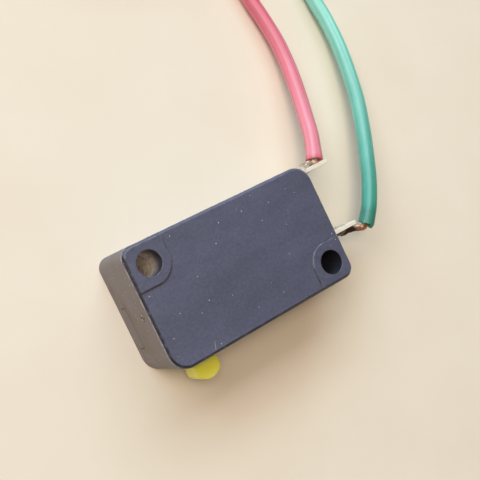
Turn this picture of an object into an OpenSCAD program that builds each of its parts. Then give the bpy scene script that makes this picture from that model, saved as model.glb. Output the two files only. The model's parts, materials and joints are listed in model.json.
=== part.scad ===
// Snap-action micro switch with a pin plunger and two soldered leads.
// X runs along the case towards the terminals, Y runs away from the plunger side and Z is the thickness.
// The origin is on the axis of the mounting hole at the terminal end, on the back face.

/* [Case] */
// Length of the case
case_l = 27.8; // [26:0.1:31]
// Height of the case, from the plunger side to the far side
case_h = 15.9; // [15:0.1:19]
// Thickness of the case over its mounting pads
case_t = 10.3; // [9.4:0.1:12]
// Thickness of the two end walls
end_wall = 1.2; // [0.9:0.1:1.5]
// Thickness of the wall that the plunger passes through
plunger_wall = 1.2; // [0.9:0.1:1.5]
// Thickness of the wall opposite the plunger
far_wall = 0.85; // [0.6:0.05:1.1]
// Thickness of the front wall
front_wall = 1.2; // [0.9:0.1:1.6]
// Radius of the two corners that have a mounting hole
hole_corner_r = 1.5; // [0.8:0.1:2]
// Radius of the two other corners
plain_corner_r = 2.4; // [1.2:0.1:2.8]
// Bevel round the front face
edge_bevel = 0.3; // [0.1:0.05:0.5]

/* [Mounting] */
// Diameter of the mounting holes
hole_d = 3.15; // [2.8:0.05:3.4]
// Distance of each hole's axis from the end and from the side of the case
hole_edge = 2.8; // [2.6:0.1:3]
// Outside diameter of the boss round each hole
boss_d = 4.4; // [4:0.1:4.6]
// Reach of each raised pad past its hole's axis
pad_reach = 2.7; // [2.4:0.1:3.2]
// Height of the pads above the front face
pad_rise = 0.2; // [0.1:0.05:0.4]

/* [Cover] */
// Thickness of the back cover
cover_t = 1.4; // [1:0.1:1.8]
// Height of the cover's lip inside the case
lip_h = 0.8; // [0.4:0.1:0.9]
// Thickness of the cover's lip
lip_t = 0.7; // [0.4:0.1:1]
// Width of each latch tongue
tongue_w = 5.4; // [3:0.1:6.5]
// Height of each latch tongue above the cover's plate
tongue_h = 1.5; // [1:0.1:2.5]
// Thickness of each latch tongue
tongue_t = 0.5; // [0.3:0.05:0.6]

/* [Plunger] */
// Width of the plunger, along the case and through its thickness
plunger_w = 3.4; // [2.6:0.1:3.8]
// Reach of the plunger outside the case when free
plunger_out = 2.85; // [2.5:0.05:4]
// Distance of the plunger's axis from the plain end of the case
plunger_end = 4.9; // [4.6:0.1:5.4]
// Radius of the plunger's tip
plunger_tip_r = 2; // [2:0.1:4]
// How far the flange that holds the plunger in reaches past it on each side
flange_over = 0.7; // [0.4:0.1:1]
// Thickness of the plunger's flange
flange_t = 1.2; // [0.8:0.1:1.6]
// Thickness of each of the plunger's two legs
leg_t = 0.9; // [0.6:0.1:1]
// Travel of the plunger
plunger_travel = 1.6; // [1.2:0.1:1.8]

/* [Terminals] */
// Thickness of the terminal strip
strip_t = 0.5; // [0.4:0.05:0.8]
// Width of the terminal strip
strip_w = 4.75; // [4.2:0.05:5]
// Reach of each tab outside the case
tab_out = 5.4; // [5:0.1:7]
// Diameter of the solder hole in each tab
tab_hole_d = 1.6; // [1.2:0.1:1.8]
// Distance of the fixed terminal's tab from the plunger side of the case
fixed_tab_y = 5.55; // [5.2:0.05:6]
// Distance of the common tab's solder hole from the case
common_hole_out = 2.5; // [2.2:0.1:3.2]
// Distance of the fixed tab's solder hole from the case
fixed_hole_out = 3.6; // [3:0.1:3.9]

/* [Snap mechanism] */
// Distance of the arm's seat from the plunger's axis, along the case
arm_along = 2.6; // [2.5:0.05:2.8]
// Distance of the arm's seat from the plunger side of the case
arm_up = 8; // [7.8:0.05:8.2]
// Distance of the lever's seat from the plunger's axis, along the case
lever_along = 7.1; // [6.9:0.05:7.3]
// Distance of the lever's seat from the plunger side of the case
lever_up = 10.6; // [10.4:0.05:10.8]
// Distance of the contacts from the terminal end of the case
contact_end = 6.3; // [6:0.1:6.6]
// Thickness of the moving arm and of the lever
blade_t = 0.4; // [0.3:0.05:0.5]
// Width of the moving arm
arm_w = 4.4; // [4:0.1:4.8]
// Width of the slot that lets the lever and the spring through the arm
arm_slot = 2.3; // [2.1:0.1:2.5]
// Width of the lever's neck
neck_w = 1.6; // [1.2:0.1:1.7]
// Gap between the open contacts
contact_gap = 1; // [0.6:0.05:1.2]
// Diameter of the contact rivets
contact_d = 3; // [2.4:0.1:3.4]
// Height of each contact's head
contact_h = 0.6; // [0.4:0.05:0.8]
// Slope of the lever when the plunger is free, in degrees
lever_slope = 22; // [20:0.5:24]
// Outside diameter of the snap spring
spring_d = 1.5; // [1.2:0.1:1.6]
// Diameter of the snap spring's wire
spring_wire = 0.25; // [0.2:0.01:0.3]
// Number of turns of the snap spring
spring_turns = 12; // [8:1:16]

/* [Leads] */
// Outside diameter of the insulation
wire_d = 2.2; // [1.8:0.1:2.2]
// Diameter of the twisted conductor
conductor_d = 0.9; // [0.7:0.05:1]
// Length of the tinned end of each lead
bare_end = 5.5; // [4:0.5:8]

/* [Hidden] */
$fn = 64;

// Clearance between pieces that are put together, and between the plunger and its guide
fit = 0.05;
slide = 0.1;
// A cut runs this far past the face that it opens
over = 0.2;

// Outer faces of the case
x1 = hole_edge;
x0 = x1 - case_l;
y0 = -hole_edge;
y1 = y0 + case_h;
face_z = case_t - pad_rise;
// Inner faces of the case
in_x0 = x0 + end_wall;
in_x1 = x1 - end_wall;
in_y0 = y0 + plunger_wall;
in_y1 = y1 - far_wall;
in_z1 = face_z - front_wall;
z_mid = case_t / 2;
holes = [[0, 0], [x0 + hole_edge, y1 - hole_edge]];
// Each hole's corner of the case, as the quadrant that it points to
HOLE_SIDES = [[1, -1], [-1, 1]];
// Corners of the outline: the corner point, the quadrant that it points to and the radius
CORNERS = [[[x0, y0], [-1, -1], plain_corner_r], [[x1, y0], [1, -1], hole_corner_r],
  [[x1, y1], [1, 1], plain_corner_r], [[x0, y1], [-1, 1], hole_corner_r]];
function corner_centre(c) = c[0] - c[2] * c[1];

// The terminal strips, the arm and the lever are centred in the thickness
strip_z = z_mid - strip_w / 2;
common_y = in_y1 - fit - strip_t;
fixed_y = y0 + fixed_tab_y - strip_t / 2;
tab_x = x1 + tab_out;
tab_chamfer = 0.2;
bend_r = 0.4;
solder_r = 1.25;
solder_h = 0.7;
solder_back_h = 0.2;
common_hole_x = x1 + common_hole_out;
fixed_hole_x = x1 + fixed_hole_out;

// The plunger's axis, and half the width of the opening that guides it
plunger_x = x0 + plunger_end;
guide_half = plunger_w / 2 + slide;

// Seats of the moving arm and of the lever, which are the pivots of the snap mechanism
arm_seat = [plunger_x + arm_along, y0 + arm_up];
lever_seat = [plunger_x + lever_along, y0 + lever_up];
seat_notch = 0.2;
post_rise = 0.8;
contact_x = x1 - contact_end;
arm_reach = contact_x - arm_seat[0];
arm_open = asin((contact_gap - fit) / arm_reach);
fixed_run_y = arm_seat[1] + blade_t / 2 + 2 * contact_h + fit;
contact_edge = 0.15;
rivet_fit = 0.02;
shank_d = 1.4;
tail_d = 2;
tail_h = 0.3;
arm_tip = 1.6;
arm_hook = 4.2;
notch_l = 0.7;

// The lever's head lies under the plunger's legs, and its far end holds the spring
head_w = 4.2;
head_half = 1.2;
head_in = lever_along - head_half;
head_out = lever_along + head_half;
nib_r = 1;
// Height of the leg's round end above the lever's pivot, which leaves the legs just clear of the lever
nib_above = (nib_r + blade_t / 2 + fit + lever_along * sin(lever_slope)) / cos(lever_slope);
nib_y = lever_seat[1] - nib_above;

// The plunger's flange, and the stops that it meets at the end of its travel
flange_y = in_y0 + fit;
leg_y = flange_y + flange_t;
flange_half = plunger_w / 2 + flange_over;
travel_y = leg_y + plunger_travel + fit;

// Stop for the free arm's rivet, and locating ribs
stop_y = arm_seat[1] - arm_reach * sin(arm_open) - (blade_t / 2 + tail_h) * cos(arm_open)
  - tail_d / 2 * sin(arm_open) - fit;
stop_w = 1.6;
rib_t = 0.8;
support_x = contact_x + tail_d / 2 + rib_t / 2;

// Latch tongues: their places along Y, and the half-round ridge that holds each
plain_latch_y = y0 + 6.5;
terminal_latch_y = (fixed_y + strip_t + common_y) / 2;
latch_r = 0.2;
latch_drop = 0.5;

// Leads: points that each lead's axis goes through, from its terminal to its coil
RED_ROUTE = [[7.2, 12.8, 6], [7.8, 14.05, 5.9], [8.85, 16.2, 5.4], [9.75, 18.4, 4.7], [10.8, 21.3, 3.9],
  [11.7, 24.3, 3.2], [12.4, 27.4, 2.5], [12.7, 30.7, 2], [12.5, 34.2, 1.6], [12, 37.7, 1.4],
  [11.5, 43, 1.4], [11.3, 48.5, 1.4], [11.2, 54, 1.4], [11.2, 59.5, 1.4], [11.2, 64.5, 1.4]];
GREEN_ROUTE = [[10.55, 1.75, 6], [11.7, 3, 6], [12.75, 4.35, 5.9], [14.45, 6.9, 5.6], [15.9, 9.5, 5.2],
  [17.4, 12.25, 4.7], [18.75, 15, 4.2], [20.05, 18.05, 3.7], [21, 21.1, 3.2], [21.8, 24.35, 2.7],
  [22.3, 27.5, 2.3], [22.5, 31, 1.9], [22.3, 34.4, 1.6], [22, 40, 1.4], [21.4, 46, 1.4],
  [20.3, 52, 1.4], [18.5, 58, 1.7], [15.6, 63.5, 2.7], [11.8, 68.8, 3.6], [7.3, 73.8, 3.6]];
// Stripped conductors, from inside the insulation to the solder hole of the tab, measured from that hole
RED_STRANDS = [for (p = [[2.3, 1.1, 0.82], [1.9, 0.6, 0.85], [1.5, 0.48, 0.75], [0.8, 0.48, 0.45],
  [0, 0.48, 0]]) p + [common_hole_x, common_y + strip_t, z_mid]];
GREEN_STRANDS = [for (p = [[4.55, -0.35, 0.85], [4.15, -0.75, 0.85], [3.7, -1, 0.8], [3.1, -1, 0.7],
  [2.35, -0.7, 0.5], [1.4, -0.5, 0.25], [0, -0.48, 0]]) p + [fixed_hole_x, fixed_y, z_mid]];
// The rest of both leads is coiled in two layers, held by one tie
coil_centre = [-2, 64.5];
coil_r = 12.1;
coil_floor = 0.3;
tie_w = 2.5;
tie_t = 0.3;
tie_angle = 135;
// Tinned ends, inside the coils: where each starts and which way it points
RED_END = [coil_centre[0] + 4.5, coil_centre[1] - 8.3, coil_floor + wire_d / 2];
red_end_angle = 51;
GREEN_END = [coil_centre[0] - 7.9, coil_centre[1] - 3.9, coil_floor + wire_d / 2];
green_end_angle = -43;

// Outline of the case seen from the front, drawn in by a margin
module case_outline(margin = 0) {
  difference() {
    translate([x0 + margin, y0 + margin]) square([case_l - 2 * margin, case_h - 2 * margin]);
    for (c = CORNERS) translate(corner_centre(c)) corner_waste(c[2] - margin, c[1]);
  }
}

// What a round corner of radius r leaves off a square one, in the quadrant that side points to
module corner_waste(r, side) {
  difference() {
    quadrant(side) square(r + over);
    circle(r);
  }
}

// Turns something drawn in the first quadrant towards another one
module quadrant(side) {
  mirror([side[0] < 0 ? 1 : 0, 0, 0]) mirror([0, side[1] < 0 ? 1 : 0, 0]) children();
}

// Waste along a straight edge of the front face, which runs along +X with the case on its +Y side
module edge_waste(length) {
  rotate([90, 0, 90]) linear_extrude(length)
    polygon([[-over, -edge_bevel - over], [-over, over], [edge_bevel + over, over]]);
}

// Waste at a round corner of the front face
module corner_bevel(r, side) {
  difference() {
    quadrant(side) translate([0, 0, -edge_bevel - over])
      cube([r + over, r + over, edge_bevel + 2 * over]);
    translate([0, 0, -edge_bevel - over])
      cylinder(h = edge_bevel + 2 * over, r1 = r + over, r2 = r - edge_bevel - over);
  }
}

// All the waste of the bevel round the front face
module front_bevel() {
  translate([0, 0, face_z]) {
    translate([x0 + plain_corner_r, y0]) edge_waste(case_l - plain_corner_r - hole_corner_r);
    translate([x1 - plain_corner_r, y1]) rotate(180) edge_waste(case_l - plain_corner_r - hole_corner_r);
    translate([x1, y0 + hole_corner_r]) rotate(90) edge_waste(case_h - plain_corner_r - hole_corner_r);
    translate([x0, y1 - hole_corner_r]) rotate(-90) edge_waste(case_h - plain_corner_r - hole_corner_r);
    for (c = CORNERS) translate(corner_centre(c)) corner_bevel(c[2], c[1]);
  }
}

// Raised pad round a mounting hole, which reaches out to the two edges of its corner
module pad(hole, side) {
  far = case_h;
  translate([0, 0, in_z1]) linear_extrude(case_t - in_z1) intersection() {
    case_outline(edge_bevel);
    translate(hole) {
      circle(pad_reach);
      quadrant(side) {
        translate([-pad_reach, 0]) square([far, far]);
        translate([0, -pad_reach]) square([far, far]);
      }
    }
  }
}

// The corner of the case round hole i, from the hole's axis out past both edges
module hole_corner(i, gap) {
  translate(holes[i]) quadrant(HOLE_SIDES[i]) translate([-gap, -gap]) square(hole_edge + over);
}

// A block between two heights over a rectangle given by two corners
module block(low, high, z_low, z_high) {
  translate([low[0], low[1], z_low]) cube([high[0] - low[0], high[1] - low[1], z_high - z_low]);
}

// Space for a latch tongue, or the tongue itself, on the end whose outward side is dir
module latch(x_face, y_centre, dir, gap) {
  half = tongue_w / 2 + gap;
  depth = tongue_t + gap;
  x_in = x_face - dir * depth;
  x_out = x_face + (gap > 0 ? dir * over : 0);
  z_low = cover_t - (gap > 0 ? over : fit);
  block([min(x_in, x_out), y_centre - half], [max(x_in, x_out), y_centre + half],
    z_low, cover_t + tongue_h + gap);
  translate([x_in, y_centre - half, cover_t + tongue_h - latch_drop])
    rotate([-90, 0, 0]) cylinder(h = 2 * half, r = latch_r + gap);
}

// Space that the inside of the case leaves, without its bosses and ribs
module cavity(margin, z_low, z_high) {
  block([in_x0 + margin, in_y0 + margin], [in_x1 - margin, in_y1 - margin], z_low, z_high);
}

// Slot for a terminal strip in the end wall, open towards the cover
module strip_slot(y, gap, z_low, z_high) {
  block([in_x1 - over, y - gap], [x1 + over, y + strip_t + gap], z_low, z_high);
}

module case() {
  strip_top = strip_z + strip_w + fit;
  color("#4c4e5a") difference() {
    union() {
      difference() {
        translate([0, 0, cover_t]) linear_extrude(face_z - cover_t) case_outline();
        front_bevel();
        cavity(0, cover_t - over, in_z1);
        for (y = [common_y, fixed_y]) strip_slot(y, fit, cover_t - over, strip_top);
        block([plunger_x - guide_half, y0 - over], [plunger_x + guide_half, in_y0 + over],
          cover_t - over, z_mid + guide_half);
        latch(x0, plain_latch_y, -1, fit);
        latch(x1, terminal_latch_y, 1, fit);
      }
      for (i = [0, 1]) pad(holes[i], HOLE_SIDES[i]);
      for (h = holes) translate(h) cylinder(h = in_z1 + over, d = boss_d);
      translate([0, 0, cover_t]) linear_extrude(in_z1 + over - cover_t) for (i = [0, 1]) intersection() {
        case_outline();
        hole_corner(i, 0);
      }
      // Stops for the plunger's flange and for the free arm, and supports for both strips
      block([in_x0 - over, travel_y], [plunger_x - nib_r - slide, travel_y + rib_t], strip_z, in_z1 + over);
      block([plunger_x + nib_r + slide, travel_y], [plunger_x + flange_half, travel_y + rib_t],
        strip_z, in_z1 + over);
      block([contact_x - stop_w / 2, in_y0 - over], [contact_x + stop_w / 2, stop_y], strip_z, in_z1 + over);
      block([support_x, fixed_run_y + strip_t + fit], [support_x + stop_w, common_y - fit],
        strip_z, in_z1 + over);
      for (x = [arm_seat[0] + rib_t, contact_x])
        block([x, common_y - rib_t], [x + rib_t, in_y1 + over], strip_top, in_z1 + over);
    }
    for (h = holes) translate([h[0], h[1], -over]) cylinder(h = case_t + 2 * over, d = hole_d);
  }
}

module cover() {
  finger_half = guide_half - fit;
  color("#43444f") difference() {
    union() {
      linear_extrude(cover_t) case_outline();
      difference() {
        cavity(fit, cover_t - fit, cover_t + lip_h);
        cavity(fit + lip_t, cover_t - over, cover_t + lip_h + over);
      }
      intersection() {
        linear_extrude(case_t) case_outline();
        union() {
          // Fingers that close the slots of both strips and of the plunger
          for (y = [common_y, fixed_y]) strip_slot(y, 0, cover_t - fit, strip_z - fit);
          block([plunger_x - finger_half, y0], [plunger_x + finger_half, in_y0 + lip_t],
            cover_t - fit, z_mid - guide_half);
          latch(x0, plain_latch_y, -1, 0);
          latch(x1, terminal_latch_y, 1, 0);
        }
      }
    }
    for (h = holes) translate([h[0], h[1], -over]) cylinder(h = case_t, d = boss_d + 2 * fit);
    translate([0, 0, cover_t]) linear_extrude(case_t) for (i = [0, 1]) hole_corner(i, fit);
  }
}

module plunger() {
  half = plunger_w / 2;
  tip_y = y0 - plunger_out;
  color("#e6d94a") union() {
    // Tongue with a round tip, which the wall guides
    intersection() {
      block([plunger_x - half, tip_y], [plunger_x + half, flange_y + fit], z_mid - half, z_mid + half);
      union() {
        translate([plunger_x, tip_y + plunger_tip_r, z_mid - half])
          cylinder(h = plunger_w, r = plunger_tip_r);
        block([plunger_x - half, tip_y + plunger_tip_r], [plunger_x + half, flange_y + fit],
          z_mid - half, z_mid + half);
      }
    }
    block([plunger_x - flange_half, flange_y], [plunger_x + flange_half, leg_y], z_mid - half, z_mid + half);
    // Two legs that straddle the spring and press on the lever's head
    for (z = [z_mid - half, z_mid + half - leg_t]) {
      block([plunger_x - nib_r, leg_y - fit], [plunger_x + nib_r, nib_y], z, z + leg_t);
      translate([plunger_x, nib_y, z]) cylinder(h = leg_t, r = nib_r);
    }
  }
}

// A tab's chamfered end and its solder hole, cut from a strip whose face is at y
module tab_cuts(y, hole_x) {
  for (z = [strip_z, strip_z + strip_w])
    translate([tab_x, y - over, z]) rotate([0, 45, 0])
      translate([-tab_chamfer / sqrt(2), 0, -tab_chamfer / sqrt(2)])
        cube([sqrt(2) * tab_chamfer, strip_t + 2 * over, sqrt(2) * tab_chamfer]);
  translate([hole_x, y - over, z_mid]) rotate([-90, 0, 0]) cylinder(h = strip_t + 2 * over, d = tab_hole_d);
}

// Round bend of a strip, drawn as the quarter ring between two straight runs that leave towards side
module bend(side) {
  quadrant([-side[0], -side[1]]) intersection() {
    difference() {
      circle(bend_r + strip_t);
      circle(bend_r);
    }
    square(bend_r + strip_t);
  }
}

// A V across the face of a post, in which a knife edge rocks
module seat_cut() {
  translate([0, 0, z_mid - strip_w]) rotate(45)
    translate([-seat_notch / sqrt(2), -seat_notch / sqrt(2), 0])
      cube([sqrt(2) * seat_notch, sqrt(2) * seat_notch, 2 * strip_w]);
}

module common_terminal() {
  outer_y = common_y + strip_t;
  post_x = arm_seat[0] - strip_t;
  post_y = arm_seat[1] - post_rise;
  tongue_y = lever_seat[1] - post_rise / 2;
  tongue_x = lever_seat[0];
  tongue_half = neck_w / 2 + fit;
  corner = bend_r + strip_t;
  color("#e3dfd2") difference() {
    union() {
      translate([0, 0, strip_z]) linear_extrude(strip_w) {
        translate([post_x + corner, common_y]) square([tab_x - post_x - corner, strip_t]);
        translate([post_x, post_y]) square([strip_t, outer_y - corner - post_y]);
        translate([post_x + corner, outer_y - corner]) bend([1, -1]);
      }
      block([tongue_x, tongue_y], [tongue_x + strip_t, common_y + fit],
        z_mid - tongue_half, z_mid + tongue_half);
    }
    // Slot in the arm's post for the lever and the spring
    block([post_x - over, post_y - over], [arm_seat[0] + over, lever_seat[1] + post_rise],
      z_mid - arm_slot / 2, z_mid + arm_slot / 2);
    // Window that the lever's post was bent out of
    block([tongue_x + strip_t, common_y - over], [tongue_x + strip_t + common_y - tongue_y, outer_y + over],
      z_mid - tongue_half - fit, z_mid + tongue_half + fit);
    translate(arm_seat) seat_cut();
    translate(lever_seat) seat_cut();
    tab_cuts(common_y, common_hole_x);
  }
}

module fixed_terminal() {
  corner = bend_r + strip_t;
  leg_x = in_x1 - fit - corner;
  run_x = contact_x - contact_d / 2 - rib_t;
  color("#e3dfd2") difference() {
    translate([0, 0, strip_z]) linear_extrude(strip_w) {
      translate([leg_x + corner, fixed_y]) square([tab_x - leg_x - corner, strip_t]);
      translate([leg_x + corner, fixed_y + corner]) bend([1, 1]);
      translate([leg_x, fixed_y + corner])
        square([strip_t, fixed_run_y - bend_r - fixed_y - corner]);
      translate([leg_x - bend_r, fixed_run_y - bend_r]) bend([-1, -1]);
      translate([run_x, fixed_run_y]) square([leg_x - bend_r - run_x, strip_t]);
    }
    tab_cuts(fixed_y, fixed_hole_x);
    translate([contact_x, fixed_run_y - over, z_mid]) rotate([-90, 0, 0])
      cylinder(h = strip_t + 2 * over, d = shank_d + 2 * rivet_fit);
  }
}

// Rivet with its contact face at the origin, facing -Y, through metal of the given thickness
module rivet(metal) {
  rotate([-90, 0, 0]) {
    cylinder(h = contact_edge, d1 = contact_d - 2 * contact_edge, d2 = contact_d);
    translate([0, 0, contact_edge]) cylinder(h = contact_h - contact_edge, d = contact_d);
    cylinder(h = contact_h + metal + tail_h, d = shank_d);
    translate([0, 0, contact_h + metal]) cylinder(h = tail_h, d = tail_d);
  }
}

module fixed_contact() {
  color("#d6d6d2") translate([contact_x, fixed_run_y - contact_h, z_mid]) rivet(strip_t);
}

module moving_contact() {
  color("#d6d6d2") on_arm()
    translate([arm_reach, blade_t / 2 + contact_h, z_mid]) rotate([180, 0, 0]) rivet(blade_t);
}

// Places something drawn along the closed arm at the open arm
module on_arm() {
  translate(arm_seat) rotate(-arm_open) children();
}

// A blade with a knife edge at the origin, which runs along +X
module blade(length, width) {
  translate([0, 0, z_mid - width / 2]) linear_extrude(width)
    polygon([[fit - seat_notch, 0], [blade_t / 2, -blade_t / 2], [length, -blade_t / 2],
      [length, blade_t / 2], [blade_t / 2, blade_t / 2]]);
}

// Notch that holds an end of the spring, from x towards +X
module hook_notch(x, length) {
  half = spring_wire / 2 + slide;
  block([x, -blade_t], [x + length, blade_t], z_mid - half, z_mid + half);
}

module moving_arm() {
  slot_l = arm_reach - arm_hook;
  color("#c98f4e") on_arm() difference() {
    blade(arm_reach + arm_tip, arm_w);
    block([-over, -blade_t], [slot_l, blade_t], z_mid - arm_slot / 2, z_mid + arm_slot / 2);
    hook_notch(slot_l, notch_l);
    translate([arm_reach, -blade_t, z_mid]) rotate([-90, 0, 0])
      cylinder(h = 2 * blade_t, d = shank_d + 2 * rivet_fit);
  }
}

module actuating_lever() {
  length = head_out / cos(lever_slope);
  head_x = head_in / cos(lever_slope);
  color("#c9a15a") translate(lever_seat) rotate(180 + lever_slope) difference() {
    union() {
      blade(length, neck_w);
      block([head_x, -blade_t / 2], [length, blade_t / 2], z_mid - head_w / 2, z_mid + head_w / 2);
    }
    hook_notch(length - 2 * notch_l, 2 * notch_l);
  }
}

// Direction of a path at point i
function heading(path, i) =
  let (a = path[max(i - 1, 0)], b = path[min(i + 1, len(path) - 1)]) (b - a) / norm(b - a);

// Corners of the ring round point i of a path, with the ring's first side square to ups, which is one
// direction or a list of them
function ring(path, i, r, sides, ups) =
  let (t = heading(path, i), c = cross(t, is_list(ups[0]) ? ups[i] : ups), u = c / norm(c), v = cross(t, u))
  [for (k = [0 : sides - 1]) path[i] + r * (cos(360 * k / sides) * u + sin(360 * k / sides) * v)];

// Tube of radius r along a path, with flat ends
module tube(path, r, sides, ups = [0, 0, 1]) {
  n = len(path);
  corners = [for (i = [0 : n - 1]) each ring(path, i, r, sides, ups)];
  walls = [for (i = [0 : n - 2], k = [0 : sides - 1])
    let (a = i * sides + k, b = i * sides + (k + 1) % sides)
    each [[a, a + sides, b + sides], [a, b + sides, b]]];
  first = [for (k = [0 : sides - 1]) k];
  last = [for (k = [sides - 1 : -1 : 0]) (n - 1) * sides + k];
  polyhedron(points = corners, faces = concat(walls, [first], [last]), convexity = 4);
}

// Tinned end of a lead, which lies level
module bare_wire(start, angle) {
  translate(start) rotate([0, 90, angle]) cylinder(h = bare_end, d = conductor_d);
}

// Tension spring between the lever's notch and the arm's notch
module snap_spring() {
  lever_r = head_out / cos(lever_slope) - notch_l / 2;
  arm_r = arm_reach - arm_hook + notch_l / 2;
  a = [lever_seat[0] - lever_r * cos(lever_slope), lever_seat[1] - lever_r * sin(lever_slope), z_mid];
  b = [arm_seat[0] + arm_r * cos(arm_open), arm_seat[1] - arm_r * sin(arm_open), z_mid];
  axis = (b - a) / norm(b - a);
  side = cross([0, 0, 1], axis);
  coil_from = arm_seat[0] - a[0] + spring_wire;
  coil_l = norm(b - a) - coil_from - 2 * notch_l;
  r = (spring_d - spring_wire) / 2;
  steps = 12 * spring_turns;
  pitch = coil_l / spring_turns;
  // How far the wire has wound out from the axis at a step, over half a turn at each end
  function out(i) = min(1, i / 6, (steps - i) / 6);
  function radial(i) = cos(30 * i) * side + [0, 0, sin(30 * i)];
  coil = [for (i = [0 : steps]) a + axis * (coil_from + pitch * i / 12) + out(i) * r * radial(i)];
  color("#b9bcc2") tube(concat([a], coil, [b]), spring_wire / 2, 6,
    concat([side], [for (i = [0 : steps]) radial(i)], [side]));
}

module red_conductor() {
  color("#b98a63") tube(RED_STRANDS, conductor_d / 2, 8);
}

module green_conductor() {
  color("#b98a63") tube(GREEN_STRANDS, conductor_d / 2, 8);
}

// Cap of solder on a face at y, which bulges towards dir
module solder_cap(x, y, dir, base_r, height) {
  r = (base_r * base_r + height * height) / (2 * height);
  intersection() {
    translate([x, y + dir * (height - r), z_mid]) sphere(r, $fn = 160);
    translate([x, y + (dir < 0 ? -height : 0), z_mid]) rotate([-90, 0, 0]) cylinder(h = height, r = base_r);
  }
}

// Solder that fills a tab's hole and stands on both of its faces
module solder(x, y, low_h, high_h) {
  color("#c9c7c0") union() {
    solder_cap(x, y, -1, solder_r, low_h);
    translate([x, y - fit, z_mid]) rotate([-90, 0, 0])
      cylinder(h = strip_t + 2 * fit, d = tab_hole_d - 2 * rivet_fit);
    solder_cap(x, y + strip_t, 1, solder_r, high_h);
  }
}

module common_solder() {
  solder(common_hole_x, common_y, solder_back_h, solder_h);
}

module fixed_solder() {
  solder(fixed_hole_x, fixed_y, solder_h, solder_back_h);
}

module red_lead() {
  color("#d8405a") tube(RED_ROUTE, wire_d / 2, 8);
}

module green_lead() {
  color("#3fae98") tube(GREEN_ROUTE, wire_d / 2, 8);
}

// Two turns of a lead side by side, as one ring that lies on a given height
module coil(z) {
  translate([coil_centre[0], coil_centre[1], z]) rotate_extrude()
    translate([coil_r - wire_d, 0]) square([2 * wire_d, wire_d]);
}

module red_coil() {
  color("#d8405a") coil(coil_floor);
}

module green_coil() {
  color("#3fae98") coil(coil_floor + wire_d);
}

// Band round both coils
module lead_tie() {
  inner = [2 * wire_d + 2 * slide, tie_w, 2 * wire_d + 2 * fit];
  color("#2f3033") translate([coil_centre[0], coil_centre[1], coil_floor + wire_d]) rotate(tie_angle)
    translate([coil_r, 0, 0]) difference() {
      cube([inner[0] + 2 * tie_t, tie_w, 2 * (coil_floor + wire_d)], center = true);
      cube(inner + [0, over, 0], center = true);
    }
}

module red_lead_end() {
  color("#c9c7c0") bare_wire(RED_END, red_end_angle);
}

module green_lead_end() {
  color("#c9c7c0") bare_wire(GREEN_END, green_end_angle);
}

case();
cover();
plunger();
common_terminal();
fixed_terminal();
fixed_contact();
moving_arm();
moving_contact();
actuating_lever();
snap_spring();
red_conductor();
green_conductor();
common_solder();
fixed_solder();
red_lead();
green_lead();
red_coil();
green_coil();
lead_tie();
red_lead_end();
green_lead_end();
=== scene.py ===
"""Snap-action micro switch with a yellow pin plunger and two soldered leads, dressed around its frame."""

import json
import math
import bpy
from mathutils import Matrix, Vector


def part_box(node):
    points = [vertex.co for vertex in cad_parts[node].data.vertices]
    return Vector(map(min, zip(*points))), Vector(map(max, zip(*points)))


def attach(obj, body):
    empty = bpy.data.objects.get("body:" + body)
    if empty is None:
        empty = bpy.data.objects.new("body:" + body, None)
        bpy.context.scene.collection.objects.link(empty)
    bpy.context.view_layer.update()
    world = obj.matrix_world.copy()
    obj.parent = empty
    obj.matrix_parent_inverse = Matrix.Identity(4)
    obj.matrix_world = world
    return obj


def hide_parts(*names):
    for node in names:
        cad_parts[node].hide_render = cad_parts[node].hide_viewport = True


bl_info = {
    "name": "Micro switch",
    "version": (1, 0, 0),
    "blender": (4, 5, 0),
    "location": "View3D > Sidebar > Micro switch",
    "description": "Dresses a snap-action micro switch with its plunger, tabs and leads",
    "category": "Object",
}

import bmesh
import bpy
from bpy.props import (
    FloatProperty,
    FloatVectorProperty,
    IntProperty,
    PointerProperty,
)
from mathutils import Euler, Matrix, Vector, noise

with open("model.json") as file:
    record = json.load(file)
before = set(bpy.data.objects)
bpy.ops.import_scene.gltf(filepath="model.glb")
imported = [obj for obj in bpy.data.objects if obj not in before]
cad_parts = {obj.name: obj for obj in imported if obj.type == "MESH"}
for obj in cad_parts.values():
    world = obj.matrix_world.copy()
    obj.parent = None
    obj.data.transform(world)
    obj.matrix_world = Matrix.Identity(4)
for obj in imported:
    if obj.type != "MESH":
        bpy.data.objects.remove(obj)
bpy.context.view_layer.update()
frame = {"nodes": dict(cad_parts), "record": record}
NODES = frame["nodes"]
MOUNTS = {mount["name"]: mount for mount in frame["record"]["mounts"]}

MM = 0.001

# Places on the object, in metres, taken from its frame
CASE_LOW, CASE_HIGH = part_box("case")
COIL_LOW, COIL_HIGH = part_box("red_coil")
GREEN_COIL_LOW, GREEN_COIL_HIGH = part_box("green_coil")
WIRE_D = COIL_HIGH.z - COIL_LOW.z
COIL_CENTRE = (COIL_LOW + COIL_HIGH) / 2
TURN_R = (COIL_HIGH.x - COIL_LOW.x - WIRE_D) / 2
RED_LAYER = COIL_CENTRE.z
GREEN_LAYER = (GREEN_COIL_LOW.z + GREEN_COIL_HIGH.z) / 2

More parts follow.
